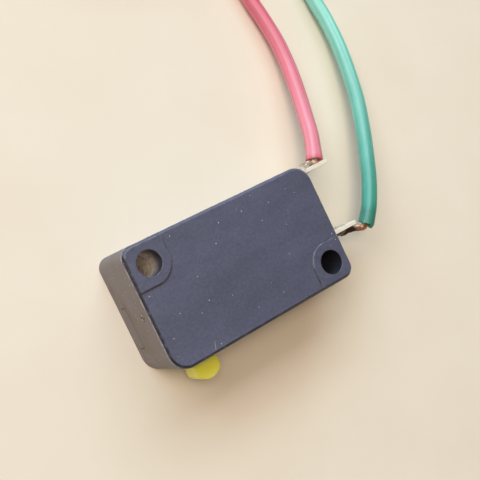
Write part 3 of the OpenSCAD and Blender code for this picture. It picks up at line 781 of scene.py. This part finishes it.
def path_object(name, path):
    """A path as a line of edges, for a node tree to follow."""
    mesh = bpy.data.meshes.new(name)
    mesh.from_pydata(path, [(i, i + 1) for i in range(len(path) - 1)], [])
    return placed(name, mesh)


def grown(host, tree, values):
    """Runs a node tree on an object with these inputs, and leaves a plain mesh in its place."""
    modifier = host.modifiers.new("Make", "NODES")
    modifier.node_group = tree
    for item in tree.interface.items_tree:
        if item.name in values:
            modifier[item.identifier] = values[item.name]
    return baked(host)


def tree_with(name, inputs):
    """A new geometry tree with these named inputs, as the tree and its input node."""
    tree = bpy.data.node_groups.new(name, "GeometryNodeTree")
    for title, kind in inputs:
        tree.interface.new_socket(title, in_out="INPUT", socket_type=kind)
    tree.interface.new_socket("Geometry", in_out="OUTPUT", socket_type="NodeSocketGeometry")
    return tree, add(tree, "NodeGroupInput").outputs


def strand_tree():
    """Strands twisted round a core along a path."""
    tree, given = tree_with("Twisted strands", (
        ("Path", "NodeSocketGeometry"), ("Strands", "NodeSocketInt"), ("Ring radius", "NodeSocketFloat"),
        ("Strand radius", "NodeSocketFloat"), ("Twist", "NodeSocketFloat"), ("Unevenness", "NodeSocketFloat"),
        ("Material", "NodeSocketMaterial"),
    ))
    circle = {"Resolution": 8, "Radius": given["Strand radius"]}
    strand = add(tree, "GeometryNodeCurvePrimitiveCircle", circle, mode="RADIUS").outputs["Curve"]
    ring = add(tree, "GeometryNodeMeshCircle", {"Vertices": given["Strands"], "Radius": given["Ring radius"]})
    around = add(tree, "GeometryNodeInstanceOnPoints", {"Points": ring.outputs["Mesh"], "Instance": strand})
    core = {"Resolution": 10, "Radius": given["Ring radius"]}
    middle = add(tree, "GeometryNodeCurvePrimitiveCircle", core, mode="RADIUS").outputs["Curve"]
    section = add(tree, "GeometryNodeJoinGeometry", {"Geometry": around.outputs["Instances"]})
    tree.links.new(middle, section.inputs["Geometry"])
    profile = add(tree, "GeometryNodeRealizeInstances", {"Geometry": section.outputs["Geometry"]})
    line = add(tree, "GeometryNodeMeshToCurve", {"Mesh": given["Path"]})
    share = add(tree, "GeometryNodeSplineParameter").outputs["Factor"]
    turn = worked(tree, "MULTIPLY", share, given["Twist"])
    tilted = add(tree, "GeometryNodeSetCurveTilt", {"Curve": line.outputs["Curve"], "Tilt": turn})
    swept = add(tree, "GeometryNodeCurveToMesh", {
        "Curve": tilted.outputs["Curve"], "Profile Curve": profile.outputs["Geometry"], "Fill Caps": True,
    })
    wander = add(tree, "ShaderNodeTexNoise", {"Scale": per(0.6), "Detail": 1}).outputs["Color"]
    moved = scaled(tree, vector(tree, "SUBTRACT", wander, (0.5, 0.5, 0.5)), given["Unevenness"])
    loose = add(tree, "GeometryNodeSetPosition", {"Geometry": swept.outputs["Mesh"], "Offset": moved})
    smooth = add(tree, "GeometryNodeSetShadeSmooth", {"Geometry": loose.outputs["Geometry"]})
    real = add(tree, "GeometryNodeRealizeInstances", {"Geometry": smooth.outputs["Geometry"]})
    faced = {"Geometry": real.outputs["Geometry"], "Material": given["Material"]}
    finished = add(tree, "GeometryNodeSetMaterial", faced)
    add(tree, "NodeGroupOutput", {"Geometry": finished.outputs["Geometry"]})
    return tree


def strand_bundle(name, points, tree, material, look, loose):
    """Twisted strands along a route, as a plain mesh."""
    # Strands that touch side by side fill the conductor's outer ring
    sine = math.sin(math.pi / look.strands)
    strand_r = look.conductor / 2 * sine / (1 + sine)
    # A hair of room keeps neighbours from sharing points
    room = 0.97
    return grown(path_object(name, smooth_path(points, 8)), tree, {
        "Strands": look.strands, "Ring radius": look.conductor / 2 - strand_r,
        "Strand radius": room * strand_r, "Twist": 2 * math.pi * look.strand_twist,
        "Unevenness": loose, "Material": material,
    })


def remelted(node, name, material, swell, seed):
    """A copy of a node's mesh, remeshed and rippled like metal that has flowed and set."""
    piece = placed(name, merged_copy(node), material)
    even = piece.modifiers.new("Even", "REMESH")
    even.mode = "VOXEL"
    even.voxel_size = 0.07 * MM
    even.use_smooth_shade = True
    relaxed = piece.modifiers.new("Relaxed", "SMOOTH")
    relaxed.iterations = 6
    ripple = 0.8 * MM
    for vertex in baked(piece).data.vertices:
        lump = noise.noise(vertex.co / ripple + Vector((seed, 0, 0)))
        vertex.co += vertex.normal * swell * lump
    return piece


class SWITCH_OT_camera(bpy.types.Operator):
    """Makes the camera"""

    bl_idname = "switch.make_camera"
    bl_label = "Camera"

    def execute(self, context):
        look = context.scene.switch_stage
        data = bpy.data.cameras.new("Camera")
        data.sensor_width = 36
        data.lens = look.lens
        data.clip_start = 1 * MM
        camera = bpy.data.objects.new("Camera", data)
        turn = Euler(look.camera_turn).to_matrix().to_4x4()
        camera.matrix_world = Matrix.Translation(look.camera_place) @ turn
        context.scene.collection.objects.link(camera)
        context.scene.camera = camera
        return {"FINISHED"}


class SWITCH_OT_leads(bpy.types.Operator):
    """Makes both leads with their coils, bare ends and tie"""

    bl_idname = "switch.make_leads"
    bl_label = "Leads"

    def execute(self, context):
        look = context.scene.switch_leads
        metal = context.scene.switch_metal
        # The conductor has a little room in its insulation
        bore = metal.conductor / 2 * 1.04
        tree = strand_tree()
        tinned = strands_drawn("Copper strands tinned", linear("#cfc8ba"), linear("#8f8574"))
        tie = dressed("lead_tie", "tie_band", "housing", nylon_moulded(), 0.12 * MM, 3)
        # The stripper spread the red end a little, and left a slant and a tatter on the green one
        red_cut = {
            "seed": 3.1, "flare": 0.1, "mouth": 1.5, "ragged": look.ragged * 0.5,
            "slant": (0, 0, 0), "tatter": (0, 0, 1), "hang": 0, "rim_reach": 0.5,
        }
        green_cut = {
            "seed": 7.7, "flare": 0.04, "mouth": 1, "ragged": look.ragged * 1.4,
            "slant": (-0.26, 0, 0.37), "tatter": (0.35, -0.2, 0.9), "hang": 0.5 * MM, "rim_reach": 2.2,
        }
        leads = (
            ("red", RED_ROUTE, red_coil_points(), RED_END, RED_END_ANGLE, red_cut),
            ("green", GREEN_ROUTE, green_coil_points(), GREEN_END, GREEN_END_ANGLE, green_cut),
        )
        for name, route, turns, end, angle, cut in leads:
            path = smooth_path(metres(route) + turns, 6)
            mesh = lead_mesh(f"{name}_lead_insulation", path, look.diameter / 2, bore, cut)
            colours = [list(getattr(look, name + part)) for part in ("", "_heated", "_rim")]
            skin = pvc_extruded(f"PVC extruded {name}", *colours, cut["rim_reach"])
            lead = placed(f"{name}_lead_insulation", mesh, skin)
            heading = Vector((math.cos(angle), math.sin(angle), 0))
            inside = path[-3]
            tip_route = [inside, end, end + heading * BARE_END / 2, end + heading * BARE_END]
            tip = strand_bundle(f"{name}_lead_tip", tip_route, tree, tinned, metal, 0.08 * MM)
            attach(lead, "housing")
            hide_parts(f"{name}_lead", f"{name}_coil")
            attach(tip, "housing")
            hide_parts(f"{name}_lead_end")
        return {"FINISHED"}


class SWITCH_OT_conductors(bpy.types.Operator):
    """Makes the stripped conductors at the tabs"""

    bl_idname = "switch.make_conductors"
    bl_label = "Conductors"

    def execute(self, context):
        metal = context.scene.switch_metal
        tree = bpy.data.node_groups.get("Twisted strands") or strand_tree()
        copper = strands_drawn("Copper strands bare", list(metal.copper), linear("#cf9474"), FLUX_END)
        wetted = strands_drawn("Copper strands wetted", linear("#f6ead8"), linear("#b59a7e"))
        # The red strands sprang apart before they were soldered
        bundles = (("red", RED_STRANDS, wetted, 0.7 * MM), ("green", GREEN_STRANDS, copper, 0.3 * MM))
        for name, route, finish, loose in bundles:
            bundle = strand_bundle(f"{name}_strands", metres(route), tree, finish, metal, loose)
            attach(bundle, "housing")
            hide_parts(f"{name}_conductor")
        return {"FINISHED"}


class SWITCH_OT_solder(bpy.types.Operator):
    """Makes the solder on both tabs"""

    bl_idname = "switch.make_solder"
    bl_label = "Solder"

    def execute(self, context):
        finish = solder_fluxed()
        for tab, seed in (("common", 2.5), ("fixed", 8.1)):
            joint = remelted(f"{tab}_solder", f"{tab}_solder_joint", finish, 0.06 * MM, seed)
            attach(joint, "housing")
            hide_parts(f"{tab}_solder")
        return {"FINISHED"}


class SWITCH_OT_case(bpy.types.Operator):
    """Makes the case and the cover"""

    bl_idname = "switch.make_case"
    bl_label = "Case"

    def execute(self, context):
        look = context.scene.switch_case
        plastic = pbt_moulded(look)
        dressed("case", "case_shell", "housing", plastic)
        dressed("cover", "cover_plate", "housing", plastic)
        return {"FINISHED"}


class SWITCH_OT_gate_mark(bpy.types.Operator):
    """Makes the broken-off gate on the plain end of the case"""

    bl_idname = "switch.make_gate_mark"
    bl_label = "Gate mark"

    def execute(self, context):
        centre = Vector((CASE_LOW.x, GATE_MARK[0] * MM, GATE_MARK[1] * MM))
        sides = 20
        # Radius and height of each ring, from the foot to the torn top, in millimetres
        rings = ((0.5, -0.04), (0.46, 0.05), (0.36, 0.11), (0.2, 0.08))
        work = bmesh.new()
        grid = []
        for r, rise in rings:
            ring = []
            for k in range(sides):
                angle = 2 * math.pi * k / sides
                torn = 1 + 0.3 * wavy(angle, 3, r * 5)
                out = Vector((-rise, r * math.cos(angle), r * math.sin(angle))) * torn
                ring.append(work.verts.new(centre + out * MM))
            grid.append(ring)
        bridged(work, grid)
        mark = placed("gate_mark", closed("gate_mark", work, grid), pbt_torn())
        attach(mark, "housing")
        return {"FINISHED"}


class SWITCH_OT_plunger(bpy.types.Operator):
    """Makes the plunger"""

    bl_idname = "switch.make_plunger"
    bl_label = "Plunger"

    def execute(self, context):
        look = context.scene.switch_case
        acetal = acetal_moulded(look)
        dressed("plunger", "plunger_pin", "plunger", acetal, look.plunger_rounding, 3)
        return {"FINISHED"}


class SWITCH_OT_terminals(bpy.types.Operator):
    """Makes both terminals"""

    bl_idname = "switch.make_terminals"
    bl_label = "Terminals"

    def execute(self, context):
        look = context.scene.switch_metal
        tin = brass_tinned(look)
        for name in ("common", "fixed"):
            dressed(f"{name}_terminal", f"{name}_strip", "housing", tin, look.stamped_edge)
        return {"FINISHED"}


class SWITCH_OT_mechanism(bpy.types.Operator):
    """Gives the snap mechanism inside the case its metals"""

    bl_idname = "switch.make_mechanism"
    bl_label = "Mechanism"

    def execute(self, context):
        look = context.scene.switch_metal
        silver = metal_strip("Silver contact", linear("#dcdcd8"), linear("#b9b6ae"), 0.25)
        bronze = metal_strip("Beryllium copper rolled", linear("#c98f4e"), linear("#a86f3a"), 0.32)
        brass = metal_strip("Brass stamped", linear("#d0a95c"), linear("#a98444"), 0.34)
        steel = metal_strip("Spring steel drawn", linear("#b9bcc2"), linear("#8f9297"), 0.3)
        edge = look.stamped_edge
        dressed("fixed_contact", "fixed_contact_rivet", "housing", silver, edge)
        dressed("moving_contact", "moving_contact_rivet", "arm", silver, edge)
        dressed("moving_arm", "moving_arm_blade", "arm", bronze, edge)
        dressed("actuating_lever", "actuating_lever_blade", "lever", brass, edge)
        NODES["snap_spring"].data.materials.clear()
        NODES["snap_spring"].data.materials.append(steel)
        return {"FINISHED"}


class SWITCH_OT_stage(bpy.types.Operator):
    """Makes the table top and the light"""

    bl_idname = "switch.make_stage"
    bl_label = "Stage"

    def execute(self, context):
        look = context.scene.switch_stage
        # The table is a hair below the switch
        half, level = 0.9, -0.01 * MM
        mesh = bpy.data.meshes.new("table_top")
        corners = [(x * half, y * half, level) for x, y in ((-1, -1), (1, -1), (1, 1), (-1, 1))]
        mesh.from_pydata(corners, [], [(0, 1, 2, 3)])
        placed("table_top", mesh, board_painted(look.floor))
        # A window beyond the case with low sky in it, one to its side, and a lamp hung over the plain end
        lamps = (
            ("Window", (0, 0.64, 0.64), (1.1, 0.4), look.window_power, look.window_colour),
            ("Sky", (0, 0.78, 0.45), (1.1, 0.4), look.sky_power, look.sky_colour),
            ("Side", (-0.45, 0.45, 0.64), (0.4, 0.4), look.side_power, look.side_colour),
            ("Lamp", (-0.267, 0.154, 0.846), (0.3, 0.3), look.lamp_power, look.lamp_colour),
        )
        for name, place, size, power, colour in lamps:
            light = bpy.data.lights.new(name, "AREA")
            light.shape = "RECTANGLE"
            light.size, light.size_y = size
            light.energy = power
            light.color = colour[:3]
            lamp = bpy.data.objects.new(name, light)
            lamp.location = place
            lamp.rotation_euler = (-Vector(place)).to_track_quat("-Z", "Y").to_euler()
            context.scene.collection.objects.link(lamp)
        world = bpy.data.worlds.new("Room")
        world.use_nodes = True
        sky = world.node_tree.nodes["Background"]
        sky.inputs["Color"].default_value = look.fill_colour
        sky.inputs["Strength"].default_value = look.fill
        context.scene.world = world
        context.scene.view_settings.view_transform = "Standard"
        return {"FINISHED"}


class SWITCH_PT_panel(bpy.types.Panel):
    """Lists the pieces of the switch and their looks"""

    bl_label = "Micro switch"
    bl_idname = "SWITCH_PT_panel"
    bl_space_type = "VIEW_3D"
    bl_region_type = "UI"
    bl_category = "Micro switch"

    def draw(self, context):
        scene = context.scene
        for operator in OPERATORS:
            self.layout.operator(operator.bl_idname)
        for look in (scene.switch_case, scene.switch_metal, scene.switch_leads, scene.switch_stage):
            box = self.layout.box()
            for name in look.__annotations__:
                box.prop(look, name)


# In the order in which they run
OPERATORS = (
    SWITCH_OT_camera,
    SWITCH_OT_leads,
    SWITCH_OT_conductors,
    SWITCH_OT_solder,
    SWITCH_OT_case,
    SWITCH_OT_gate_mark,
    SWITCH_OT_plunger,
    SWITCH_OT_terminals,
    SWITCH_OT_mechanism,
    SWITCH_OT_stage,
)
LOOKS = {
    "switch_case": CaseLook,
    "switch_metal": MetalLook,
    "switch_leads": LeadLook,
    "switch_stage": StageLook,
}
CLASSES = (*LOOKS.values(), *OPERATORS, SWITCH_PT_panel)


def register():
    """Adds the classes and the scene's looks."""
    for made in CLASSES:
        bpy.utils.register_class(made)
    for name, group in LOOKS.items():
        setattr(bpy.types.Scene, name, PointerProperty(type=group))


def unregister():
    """Takes the classes and the scene's looks away."""
    for name in LOOKS:
        delattr(bpy.types.Scene, name)
    for made in reversed(CLASSES):
        bpy.utils.unregister_class(made)


def main():
    """Makes every piece."""
    register()
    for operator in OPERATORS:
        group, name = operator.bl_idname.split(".")
        getattr(getattr(bpy.ops, group), name)()


if __name__ == "__main__":
    main()
